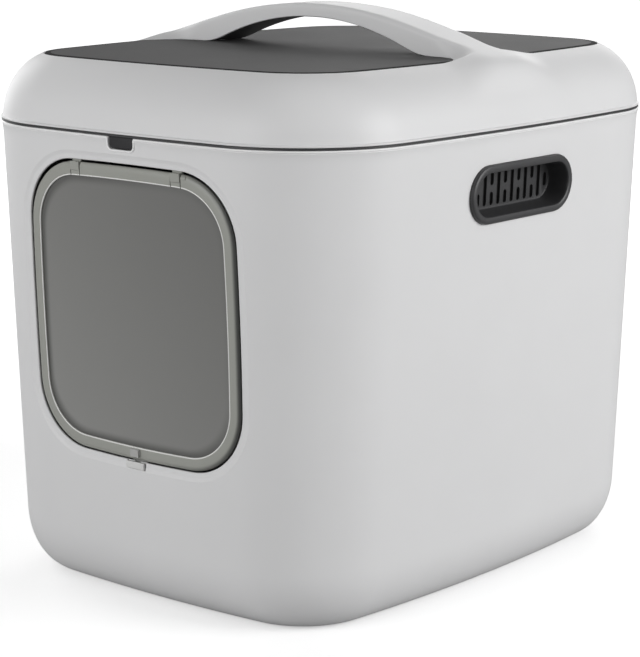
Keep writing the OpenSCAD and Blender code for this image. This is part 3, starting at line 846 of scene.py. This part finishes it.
edge_group = edge_shade()
barrels = [piece_from(rod(side * strap_x + end * barrel_x, barrel_r, barrel_long), "flap_barrel")
           for side in (-1, 1) for end in (-1, 1)]
cut(band, *barrels, how="UNION")
strap_cuts = []
for side in (-1, 1):
    x = side * strap_x
    strap_cuts.append(piece_from(rod(x, strap_r + 0.05, 10.4), "strap_cutter"))
    strap_cuts.append(piece_from(box_between((x - 5.2, -4, hinge_w), (x + 5.2, 12, hinge_w + 8), on_door()),
                                 "strap_cutter"))
    strap_cuts.append(piece_from(rod(x, 1.22, 24), "pin_cutter"))
    strap_cuts += groove_cutters(side, 8, band_front + 1.6)
cut(band, *strap_cuts)
# Map of each point's distance from the band's outer edge, and how strong the painted shade is there round the
# outline.
band_outer = [Vector((p.x, p.z)) for p in flap_ring(0, 0)]
band_shade_stops = ((0.0, 1.0), (0.1, 0.95), (0.17, 0.35), (0.2, 0.0), (0.55, 0.0), (0.78, 0.1), (0.84, 0.6),
              (0.9, 1.0), (1.0, 1.0))
reach_of = []
for vert in band.data.vertices:
    spot = Vector((vert.co.x, vert.co.z)) * 1000
    gap, step = min(((spot - p).length, k) for k, p in enumerate(band_outer))
    reach_of.append((gap / 10, along(step / len(band_outer), band_shade_stops)))
band_map = band.data.uv_layers.new(name="edge_distance")
for loop in band.data.loops:
    band_map.data[loop.index].uv = reach_of[loop.vertex_index]
dress(band, smoked_band, "flap", smooth=25, stands_for=["flap_frame"])
# The band's colour is darkened towards its outer edge on the right and lower right: painted shade of the
# doorway's recess.
tree = smoked_band.node_tree
shade = tree.nodes.new("ShaderNodeGroup")
shade.node_tree = edge_group
band_shade_paint = tree.nodes.new("ShaderNodeMix")
band_shade_paint.data_type = "RGBA"
band_shade_paint.inputs[7].default_value = (0.07, 0.072, 0.068, 1)
tint = next(n for n in tree.nodes if n.bl_idname == "ShaderNodeMix" and n != band_shade_paint)
tree.links.new(shade.outputs["Shade"], band_shade_paint.inputs["Factor"])
tree.links.new(tint.outputs[2], band_shade_paint.inputs[6])
tree.links.new(band_shade_paint.outputs[2], tree.nodes["Principled BSDF"].inputs["Base Color"])

# Pale inner edge of the band
# A thin tube along the band's inner edge, coloured near white as a painted
# highlight of its bevel: a fine pale line, broken by the strap's grooves.
inner_edge_highlight_paint = plastic("inner_edge_highlight_paint", (0.84, 0.84, 0.82), (0.92, 0.92, 0.90), (0.2, 0.3), 0.05)
inner_edge = piece_from(tube(flap_ring(0.6 - band_w, 1.9), 0.62), "inner_edge")
cut(inner_edge, *groove_cutters(-1, 9, 3), *groove_cutters(1, 9, 3))
dress(inner_edge, inner_edge_highlight_paint, "flap", smooth=60)

# Flap straps
# Two smoked straps that hold the flap's pins flush in the band, each on an
# arm behind the tub's wall.
for side, clip in ((-1, "flap_clip_left"), (1, "flap_clip_right")):
    x = side * strap_x
    strap = piece_from(rod(x, strap_r, 2 * strap_half), "strap")
    front = piece_from(box_between((x - 6, band_front, hinge_w - 5), (x + 6, strap_back, hinge_w + 0.4),
                                   on_door()), "strap_front")
    cut(strap, front, how="INTERSECT")
    head = piece_from(box_between((x - strap_half, band_front, hinge_w),
                                  (x + strap_half, strap_back, hinge_w + 3.8), on_door()), "strap_head")
    arm = piece_from(box_between((x - strap_half, band_back, hinge_w),
                                 (x + strap_half, strap_back, hinge_w + 14.6), on_door()), "strap_arm")
    cut(strap, head, arm, how="UNION")
    cut(strap, piece_from(rod(x, 1.26, 12), "pin_cutter"))
    strap.name = clip.replace("clip", "strap")
    dress(strap, smoked_band, "tub_body", smooth=25, stands_for=[clip])

# Flap panel
# The thin smoked sheet in the band, curved like the front wall. Its colour is
# painted darker softly beside the band, as painted shade where the sheet dips
# behind it, and painted lighter to the lower left and darker to the upper right.
sheet_front = 2.9
sheet_back = 4.3
sheet_edge = 2.6


def sheet_painted_light():
    """Group: painted light on the sheet, lighter to the left and towards the bottom,
    less the painted shade beside the band."""
    group = bpy.data.node_groups.new("sheet_painted_light", "ShaderNodeTree")
    group.interface.new_socket("Light", in_out="OUTPUT", socket_type="NodeSocketFloat")
    out = group.nodes.new("NodeGroupOutput")
    place = group.nodes.new("ShaderNodeTexCoord")
    axes = group.nodes.new("ShaderNodeSeparateXYZ")
    group.links.new(place.outputs["Object"], axes.inputs[0])
    across = ramp(group, -0.1, 0.1, 0.58, 0.23)
    group.links.new(axes.outputs["X"], across.inputs["Value"])
    upward = ramp(group, 0.13, 0.34, 0.38, 0.0)
    group.links.new(axes.outputs["Z"], upward.inputs["Value"])
    even = group.nodes.new("ShaderNodeMath")
    even.operation = "ADD"
    group.links.new(across.outputs["Result"], even.inputs[0])
    group.links.new(upward.outputs["Result"], even.inputs[1])
    shade = group.nodes.new("ShaderNodeGroup")
    shade.node_tree = edge_group
    light = group.nodes.new("ShaderNodeMath")
    light.operation = "SUBTRACT"
    light.use_clamp = True
    group.links.new(even.outputs["Value"], light.inputs[0])
    group.links.new(shade.outputs["Shade"], light.inputs[1])
    group.links.new(light.outputs["Value"], out.inputs["Light"])
    return group


# The two greys are the sheet's painted shaded and lit tones; the painted light below chooses between them.
smoked_sheet = plastic("smoked_sheet", (0.12, 0.12, 0.115), (0.30, 0.30, 0.29), (0.3, 0.42), 0.08)
tree = smoked_sheet.node_tree
shade = tree.nodes.new("ShaderNodeGroup")
shade.node_tree = sheet_painted_light()
tint = next(n for n in tree.nodes if n.bl_idname == "ShaderNodeMix")
tree.links.new(shade.outputs["Light"], tint.inputs["Factor"])


def sheet_ring(share, depth):
    """The sheet's outline drawn in to a share of its size, on the curve of the wall."""
    ring = []
    for point in flap_ring(sheet_edge - band_w, 0):
        x = point.x * share
        z = door_z - flap_drop + (point.z - door_z + flap_drop) * share
        ring.append(Vector((x, wall_y(x, z) + depth, z)))
    return ring


sheet_shares = (0.02, 0.2, 0.4, 0.6, 0.75, 0.85, 0.9, 0.93, 0.95, 0.97, 0.985, 1.0)
sheet = solid_from([sheet_ring(share, sheet_front) for share in sheet_shares]
                   + [sheet_ring(share, sheet_back) for share in reversed(sheet_shares)], "flap_sheet")
around = len(sheet_ring(1.0, 0))
sheet_uv = sheet.data.uv_layers.new(name="edge_distance")
both_faces = sheet_shares + tuple(reversed(sheet_shares))
# How strong the painted shade beside the band is, round the outline.
panel_shade_stops = ((0.0, 0.1), (0.2, 0.15), (0.33, 0.6), (0.42, 1.0), (0.7, 0.9), (0.86, 0.7), (0.93, 0.1),
               (1.0, 0.1))
edge_spread = 4.5
for loop in sheet.data.loops:
    ring_index, step = divmod(loop.vertex_index, around)
    reach = (1 - both_faces[ring_index]) * edge_spread
    sheet_uv.data[loop.index].uv = (reach, along(step / around, panel_shade_stops))
dress(sheet, smoked_sheet, "flap", smooth=30, stands_for=["flap_panel"])

# Side grips
# Dark finger cups with a proud rounded rim. Slots in the back show the
# carbon foam behind them.
grip_depth = 16.0
slot_pitch = 9.0
slot_w = 4.5
slot_long = 26.5
slot_split = 10.7
slot_end = 11.0


def upright_slot(x, z, height, place):
    """Cutter of an upright rounded slot through the back of a grip."""
    turned = place @ Matrix.Translation((x, 0, z)) @ Matrix.Rotation(math.pi / 2, 4, "Y")
    return solid_from([obround(height, slot_w, depth, turned, 6)
                       for depth in (grip_depth - 4, grip_depth + 6)], "slot_cutter")


def inset_rings(section, place):
    """Rings drawn in from the grip's outline, from pairs of inset and depth."""
    return [obround(grip_l - 2 * inset, grip_h - 2 * inset, depth, place) for inset, depth in section]


back_section = ((8.6, grip_depth + 2), (5.5, grip_depth + 2), (3.7, grip_seat))
rim_section = ((0, grip_seat), (0, -0.6), (0.1, -1.5), (0.6, -2.3), (1.6, -2.8), (3.0, -2.9), (4.7, -2.8),
               (5.5, -2.3), (5.9, -1.4), (6, -0.4))
cup_section = ((6.9, grip_depth - 6), (7.4, grip_depth - 1.6), (7.9, grip_depth - 0.4), (8.6, grip_depth))
for side, grip in ((-1, "vent_grip_left"), (1, "vent_grip_right")):
    place = on_side(side)
    cup = solid_from(inset_rings(back_section + rim_section + cup_section, place),
                     grip.replace("vent_grip", "grip_cup"))
    slots = []
    for i in range(-6, 7):
        if abs(i) == 6:
            slots.append(upright_slot(i * slot_pitch, 0, slot_end, place))
        elif i % 2:
            slots.append(upright_slot(i * slot_pitch, 0, slot_long, place))
        else:
            rise = (slot_long - slot_split) / 2
            slots.append(upright_slot(i * slot_pitch, rise, slot_split, place))
            slots.append(upright_slot(i * slot_pitch, -rise, slot_split, place))
    cut(cup, *slots)
    dress(cup, dark_plastic, "tub_body", smooth=30, stands_for=[grip])

# Carbon pads
# Black foam pressed between the cup's back and its inner cover: an open,
# speckled cell structure that shows through the slots.
carbon_foam = plastic("carbon_foam", (0.002, 0.002, 0.002), (0.04, 0.04, 0.04), (0.8, 0.95), 1.0, grain=500,
                      mottle=900)
pad_inset = 8.75
pad_front = grip_depth + 2.2
pad_back = 30.1
pad_round = 0.6
pad_section = ((pad_inset + pad_round, pad_front), (pad_inset, pad_front + pad_round),
               (pad_inset, pad_back - pad_round), (pad_inset + pad_round, pad_back))
for side, filter_node in ((-1, "vent_filter_left"), (1, "vent_filter_right")):
    pad = solid_from(inset_rings(pad_section, on_side(side)),
                     filter_node.replace("vent_filter", "carbon_pad"))
    dress(pad, carbon_foam, "tub_body", smooth=40, stands_for=[filter_node])

# Lock
# The frosted tab below the flap, on a stem through the tub's wall. The small
# stop above it and the plate behind it are of a half clear plastic.
frosted = plastic("frosted", (0.72, 0.72, 0.71), (0.76, 0.76, 0.75), (0.25, 0.35), 0.1)
half_clear = plastic("half_clear", (0.42, 0.42, 0.41), (0.5, 0.5, 0.49), (0.2, 0.3), 0.1)
tab_front = -1.0
tab_back = 0.9
tab_low = -122.6
tab_high = -117.2
edge_round = 0.0004
tab = piece_from(box_between((-lock_half, tab_front, tab_low), (lock_half, tab_back, tab_high), on_door()),
                 "lock_tab")
stem = piece_from(box_between((-3, 0.4, -122.2), (3, 5.8, -120), on_door()), "lock_stem")
cut(tab, stem, how="UNION")
tab_edge = tab.modifiers.new("broken_edge", "BEVEL")
tab_edge.width = edge_round
tab_edge.segments = 3
bake(tab)
dress(tab, frosted, "lock", smooth=35, stands_for=["lock_slider"])

# Small fittings
# Pieces that the imported model already shapes well keep their solids and get
# their finishes; the hinge bases and the flap keeper have their edges broken as a mould breaks them.
pin_steel = plastic("pin_steel", (0.55, 0.55, 0.56), (0.65, 0.65, 0.66), (0.25, 0.35), 0.1)
pin_steel.node_tree.nodes["Principled BSDF"].inputs["Metallic"].default_value = 1.0
slot_finish = {"white_shell": white_plastic, "dark_plastic": dark_plastic, "grey_mat": mat_rubber,
               "smoked_flap": smoked_band, "black_foam": carbon_foam, "steel": pin_steel}
for part in frame["record"]["subparts"]:
    name = part["node"]
    finish = slot_finish[part["material_slot"]]
    if name in ("flap_keeper", "lock_back"):
        finish = half_clear
    for place in nodes[name].material_slots:
        place.material = finish
for name in ("hinge_base_left", "hinge_base_right", "flap_keeper"):
    broken_edge = nodes[name].modifiers.new("broken_edge", "BEVEL")
    broken_edge.width = edge_round
    broken_edge.segments = 2
    broken_edge.limit_method = "ANGLE"
